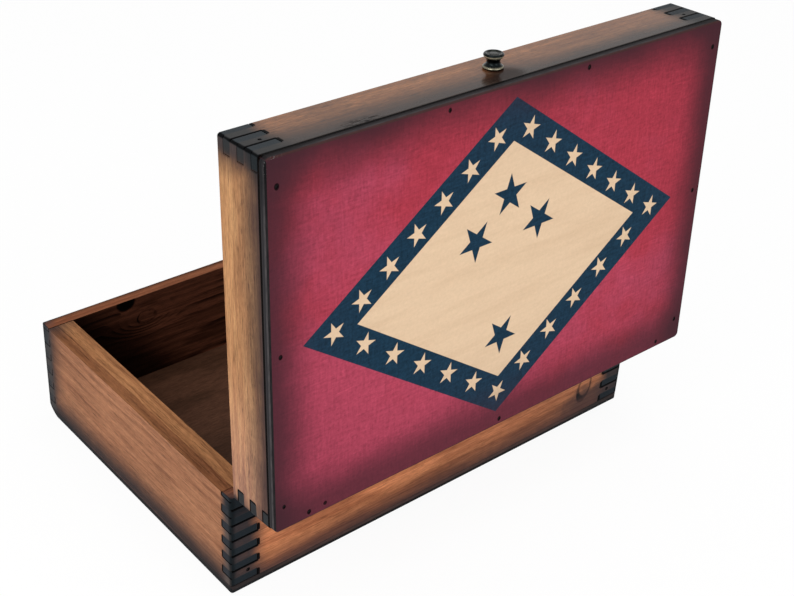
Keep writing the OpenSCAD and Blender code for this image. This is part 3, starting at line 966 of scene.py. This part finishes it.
def worn_corner(at, front_corner):
    """Where the right front corner of the panel is chipped along its upper edge."""
    near = rise(front_corner, 13.0, 4.0) * rise(at.z, LID_TOP - 1.6, LID_TOP - 1.0)
    chips = even_noise(at.place, 1.1, seed=55.0, detail=3.0, roughness=0.7)
    chips = rise(chips, 0.58, 0.66) * rise(at.from_outside, 1.3, 1.0)
    return near * chips * rise(at.x, 0.0, 1.0)


def lid_panel_finish():
    """The lid's panel: printed and smoked above, dark at its edge, and stained below."""
    finish = Finish("printed_plywood")
    at = Spot(finish, lid=True)
    along, across = weave(at.place)
    wisp = even_noise(at.place, 0.03, seed=51.0, detail=4.0, roughness=0.6) - 0.5
    front_corner = reach(at.from_end, HALF_D + at.y)

    band = lozenge(at.x - PRINT_X, at.y - PRINT_Y, BAND_OUT, 0.0015)
    colour = lid_print(at, band, along, across)
    colour = mix(panel_smoke(at, wisp) * (1 - band * 0.6), colour, PANEL_SMOKE)
    colour = nail_holes(at, wisp, colour)
    colour = mix(rise(at.from_outside, 1.2, 0.8), colour, panel_edge(at, front_corner))
    colour = mix(worn_corner(at, front_corner) * 0.55, colour, WORN_GREY)
    below = rise(at.z, LID_SEAM + 0.5, LID_SEAM + 0.1)
    colour = mix(below, colour, mix(rise(along, -0.2, 0.2), STAIN, STAIN_DARK))
    rough = 0.5 + along * 0.2
    return finish.done(
        colour, rough, along + across, height_mm=0.05, Specular_IOR_Level=0.015
    )


BOTTOM_LIGHT, BOTTOM_DARK = rgb(82, 54, 40), rgb(62, 40, 28)
BOTTOM_EDGE, BOTTOM_FLECK, BOTTOM_CHAR = rgb(62, 47, 45), rgb(80, 61, 57), rgb(24, 26, 28)
BOTTOM_BLACK, TOP_LINE = rgb(18, 17, 18), rgb(16, 14, 15)
# How far in from the outside the finish of the bottom's rounded edge ends, and where it is full.
BOTTOM_ROUNDED = (4.5, 3.5)


def bottom_edge(at):
    """The bottom's rounded edge: black below, a line at its top, and char towards the corners."""
    fleck = noise(at.place, (0.12, 0.12, 0.9), seed=65.0, detail=3.0, roughness=0.7)
    edge = mix(rise(fleck, 0.35, 0.75), BOTTOM_EDGE, BOTTOM_FLECK)
    edge = mix(rise(at.z - end_face(at) * 1.3, 3.6, 2.4), edge, BOTTOM_BLACK)
    edge = mix(rise(at.z, PLY_T - 0.8, PLY_T - 0.3) * 0.3, edge, TOP_LINE)
    from_corner = reach(at.from_end, at.from_long)
    return mix(rise(from_corner, 70.0, 20.0) * 0.7, edge, BOTTOM_CHAR)


def bottom_finish():
    """The bottom panel: stained wood with a scorched edge."""
    finish = Finish("stained_plywood")
    at = Spot(finish, lid=False)
    fine = noise(at.place, (0.16, 0.85, 0.85), seed=61.0, detail=4.0, roughness=0.75)
    broad = noise(at.place, (0.01, 0.06, 0.06), seed=63.0, detail=3.0, roughness=0.55)
    colour = mix(rise(broad, 0.3, 0.7), BOTTOM_LIGHT, BOTTOM_DARK)
    colour = tinted(colour, 0.05 + fine * 1.9)
    colour = mix(rise(at.from_outside, *BOTTOM_ROUNDED), colour, bottom_edge(at))
    rough = 0.55 + fine * 0.1
    return finish.done(colour, rough, fine, height_mm=0.08, Specular_IOR_Level=0.06)


# ---- Metal ----

BRASS_DARK, BRASS_LIGHT, BRASS_RUBBED = rgb(70, 62, 48), rgb(94, 82, 60), rgb(168, 150, 108)
BRONZE_DARK, BRONZE_LIGHT, BRONZE_RUBBED_AND_HIGHLIGHT = rgb(12, 15, 17), rgb(26, 30, 30), rgb(190, 182, 156)
DISH_BRONZE, DISH_RING_BRONZE = rgb(37, 39, 34), rgb(20, 22, 22)
STEEL_DARK, STEEL_LIGHT = rgb(12, 12, 13), rgb(30, 29, 29)


def brass_finish(lid):
    """Darkened brass with a little dirt."""
    finish = Finish("antique_brass_lid" if lid else "antique_brass_base")
    place = shut_place(finish, lid)
    fine = even_noise(place, 0.9, seed=71.0, detail=3.0, roughness=0.6)
    rub = even_noise(place, 0.2, seed=73.0, detail=4.0, roughness=0.65)
    colour = mix(rise(fine, 0.3, 0.7), BRASS_DARK, BRASS_LIGHT)
    colour = mix(rise(rub, 0.5, 0.7) * 0.7, colour, BRASS_RUBBED)
    return finish.done(colour, 0.34 + fine * 0.2, fine, height_mm=0.02, Metallic=1.0)


def steel_finish(lid):
    """Dark steel, for brads and pins."""
    finish = Finish("dark_steel_lid" if lid else "dark_steel_base")
    place = shut_place(finish, lid)
    fine = even_noise(place, 1.2, seed=81.0, detail=3.0, roughness=0.6)
    colour = mix(rise(fine, 0.3, 0.7), STEEL_DARK, STEEL_LIGHT)
    return finish.done(colour, 0.45 + fine * 0.2, fine, height_mm=0.02, Metallic=0.9)


def knob_finish():
    """Nearly black bronze, rubbed bright round the foot and round the rim, where a painted
    highlight is laid on these bands.
    """
    finish = Finish("antique_brass_knob")
    place = shut_place(finish, lid=True)
    x, y, z = split(place)
    # How far out from the rail and from the knob's axis, as shares of its height and its foot.
    out = (KNOB_HIGH.y - y) / KNOB_TALL
    spread = reach(x - KNOB_X, z - KNOB_Z) / KNOB_FOOT
    on_top = rise(out, 0.86, 0.9)
    fine = even_noise(place, 1.4, seed=75.0, detail=3.0, roughness=0.65)
    colour = mix(rise(fine, 0.3, 0.7), BRONZE_DARK, BRONZE_LIGHT)
    colour = mix(on_top * rise(spread, 0.72, 0.64) * 0.75, colour, DISH_BRONZE)
    ring = rise(size(spread - 0.42), 0.09, 0.04)
    colour = mix(ring * on_top * 0.8, colour, DISH_RING_BRONZE)
    # The bands round the foot and the rim are rubbed bronze with a painted highlight in their
    # colour. The rim is less metallic, so that its painted highlight shows.
    outermost = rise(spread, 0.8, 0.88)
    foot = rise(out, 0.05, 0.09) * rise(out, 0.24, 0.16) * outermost
    rim = rise(out, 0.66, 0.74) * rise(out, 0.9, 0.84) * outermost
    colour = mix(most(foot * 0.45, rim) * (0.55 + fine * 0.5), colour, BRONZE_RUBBED_AND_HIGHLIGHT)
    metal = 1 - rim * 0.6
    return finish.done(colour, 0.19 + fine * 0.14, fine, height_mm=0.01, Metallic=metal)


# ---- Knob ----

# Radii of the rounded foot and rim, and of the waist between them.
FOOT_ROUND, RIM_ROUND, WAIST = 1.0, 1.2, 4.1
# The rim is this much smaller in radius than the foot.
RIM_IN = 0.2
# The groove round the dish in the top: how far its middle lies in from the rim and down from the
# top, and its radius. The dish's points are given as (in from the rim, down from the top).
GROOVE_IN, GROOVE_DOWN, GROOVE_ROUND = 2.7, 0.1, 0.55
DISH = ((4.0, 0.42), (5.2, 0.36))
DISH_MIDDLE_DOWN = 0.34
KNOB_SIDES = 96


def arc(radius, middle, bend, start, stop, steps):
    """Points (distance from the axis, height) of an arc, with its angles in degrees."""
    turns = [radians(start + (stop - start) * i / steps) for i in range(steps + 1)]
    return [(radius + bend * cos(t), middle + bend * sin(t)) for t in turns]


def knob_outline():
    """The knob's profile from the middle of its foot to the middle of its top."""
    rim = KNOB_FOOT - RIM_IN
    cove = (KNOB_TALL - 2 * FOOT_ROUND - 2 * RIM_ROUND) / 2 + 0.1
    outline = [(0.0, 0.0)]
    outline += arc(KNOB_FOOT - FOOT_ROUND, FOOT_ROUND, FOOT_ROUND, -90, 75, steps=14)
    middle = FOOT_ROUND + KNOB_TALL / 2 - RIM_ROUND
    outline += arc(WAIST + cove, middle, cove, 240, 120, steps=22)
    outline += arc(rim - RIM_ROUND, KNOB_TALL - RIM_ROUND, RIM_ROUND, -75, 118, steps=18)
    groove = KNOB_TALL - GROOVE_DOWN
    outline += arc(rim - GROOVE_IN, groove, GROOVE_ROUND, -50, -130, steps=6)
    outline += [(rim - inward, KNOB_TALL - down) for inward, down in DISH]
    return outline + [(0.0, KNOB_TALL - DISH_MIDDLE_DOWN)]


def turned_mesh(name, outline):
    """A profile turned round the knob's axis, as a smooth closed mesh on the open lid."""
    turned = bmesh.new()
    rings = []
    for radius, height in outline:
        ring = []
        for i in range(KNOB_SIDES if radius else 1):
            turn = tau * i / KNOB_SIDES
            place = Vector((radius * cos(turn), KNOB_HIGH.y - height, radius * sin(turn)))
            place += Vector((KNOB_X, 0, KNOB_Z))
            ring.append(turned.verts.new(opened(place) * MM))
        rings.append(ring)
    for lower, upper in zip(rings, rings[1:]):
        for i in range(KNOB_SIDES):
            j = (i + 1) % KNOB_SIDES
            corners = [lower[i % len(lower)], lower[j % len(lower)]]
            corners += [upper[j % len(upper)], upper[i % len(upper)]]
            turned.faces.new(list(dict.fromkeys(corners)))
    bmesh.ops.recalc_face_normals(turned, faces=turned.faces)
    mesh = bpy.data.meshes.new(name)
    turned.to_mesh(mesh)
    turned.free()
    mesh.shade_smooth()
    return mesh


def knob():
    """The turned knob as one smooth body, on the place of the part's knob."""
    mesh = turned_mesh("turned_knob", knob_outline())
    mesh.materials.append(knob_finish())
    piece = bpy.data.objects.new("turned_knob", mesh)
    bpy.context.scene.collection.objects.link(piece)
    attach(piece, "lid")
    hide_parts("lid_knob")


# ---- Finishes of the part's pieces ----


def dress(nodes, material):
    """Gives some nodes of the part a material."""
    for node in nodes:
        piece = frame["nodes"][node]
        if not piece.material_slots:
            piece.data.materials.append(material)
        for holder in piece.material_slots:
            holder.material = material


def dress_all():
    """Gives every node of the part its material."""
    dress(["base_left_wall", "base_right_wall"], base_end_finish())
    dress(["base_front_wall", "base_rear_wall"], base_long_finish())
    dress(["lid_left_rail", "lid_right_rail"], lid_end_finish())
    dress(["lid_front_rail", "lid_rear_rail"], lid_long_finish())
    dress(["lid_panel"], lid_panel_finish())
    dress(["bottom_panel"], bottom_finish())
    dress(
        ["bottom_brads", "base_corner_brads", "left_hinge_pin", "right_hinge_pin"],
        steel_finish(lid=False),
    )
    dress(["lid_panel_brads", "lid_corner_brads"], steel_finish(lid=True))
    dress(
        ["left_hinge_base_leaf", "right_hinge_base_leaf", "base_hinge_screws"],
        brass_finish(lid=False),
    )
    dress(
        [
            "left_hinge_lid_leaf",
            "right_hinge_lid_leaf",
            "lid_hinge_screws",
            "knob_screw",
            "lid_knob",
        ],
        brass_finish(lid=True),
    )


# ---- Studio ----

# The camera that took the photograph: its lens and sensor, place and turn in degrees.
LENS, SENSOR = 62.97, 36.0
CAMERA_PLACE = (0.54385, 0.66328, 0.63981)
CAMERA_TURN = (57.7037, -3.1847, 140.0861)
FAR_END = 50.0

WHITE = (1, 1, 1, 1)
FLOOR_HALF = 12.0
FLOOR_COLOUR = (0.9, 0.9, 0.9, 1.0)
# How much of the floor's white is its own where it is seen directly. The rest takes the shadow.
FLOOR_GLOW = 0.93
SKY_LIGHT = 0.62

Lamp = namedtuple("Lamp", "name place aim power width height")
LAMPS = (
    Lamp("key", (1.5, 0.5, 1.3), (0.0, 0.05, 0.12), power=16.0, width=1.2, height=1.0),
    Lamp("front", (-0.3, 1.9, 1.1), (0.0, 0.05, 0.15), power=12.0, width=1.6, height=1.0),
    Lamp("top", (0.0, 0.0, 2.2), (0.0, 0.0, 0.0), power=10.0, width=1.4, height=1.4),
)


def camera():
    """The view of the photograph: from above the rear, at the end on the right of the box."""
    lens = bpy.data.cameras.new("camera")
    lens.lens = LENS
    lens.sensor_width = SENSOR
    lens.clip_end = FAR_END
    body = bpy.data.objects.new("camera", lens)
    body.location = CAMERA_PLACE
    body.rotation_euler = Euler(tuple(radians(turn) for turn in CAMERA_TURN))
    bpy.context.scene.collection.objects.link(body)
    bpy.context.scene.camera = body


def seen_directly(finish):
    """1 where the floor or the sky is looked at, also in a gloss, and 0 where it lights the box."""
    path = finish.add("ShaderNodeLightPath", {}, {})
    return most(
        path.of("Is Camera Ray"), path.of("Is Glossy Ray"), path.of("Is Transmission Ray")
    )


def floor():
    """A white floor that keeps the box's shadow."""
    mesh = bpy.data.meshes.new("floor")
    sides = ((-1, -1), (1, -1), (1, 1), (-1, 1))
    mesh.from_pydata([(x * FLOOR_HALF, y * FLOOR_HALF, 0) for x, y in sides], [], [(0, 1, 2, 3)])
    ground = bpy.data.objects.new("floor", mesh)
    bpy.context.scene.collection.objects.link(ground)
    finish = Finish("white_floor")
    matt = finish.add("ShaderNodeBsdfDiffuse", {}, {"Color": FLOOR_COLOUR})
    glow = finish.add("ShaderNodeEmission", {}, {"Color": WHITE, "Strength": 1.0})
    share = seen_directly(finish) * FLOOR_GLOW
    both = finish.add("ShaderNodeMixShader", {}, {0: share, 1: matt, 2: glow})
    finish.add("ShaderNodeOutputMaterial", {}, {"Surface": both})
    mesh.materials.append(finish.material)


def sky():
    """White where it is seen, and a plain soft light on everything."""
    surround = Surround("studio")
    strength = SKY_LIGHT + seen_directly(surround) * (1 - SKY_LIGHT)
    white = {"Color": WHITE, "Strength": strength}
    back = surround.add("ShaderNodeBackground", {}, white)
    surround.add("ShaderNodeOutputWorld", {}, {"Surface": back})
    bpy.context.scene.world = surround.world


def lamp(name, place, aim, power, width, height):
    """A soft rectangular lamp that points at aim."""
    light = bpy.data.lights.new(name, "AREA")
    light.shape = "RECTANGLE"
    light.size, light.size_y = width, height
    light.energy = power
    body = bpy.data.objects.new(name, light)
    body.location = place
    body.rotation_euler = (Vector(aim) - Vector(place)).to_track_quat("-Z", "Y").to_euler()
    bpy.context.scene.collection.objects.link(body)


def studio():
    """The sky, the floor and the lamps."""
    sky()
    floor()
    for settings in LAMPS:
        lamp(*settings)


bpy.context.scene.view_settings.view_transform = "Standard"
camera()
studio()
knob()
dress_all()
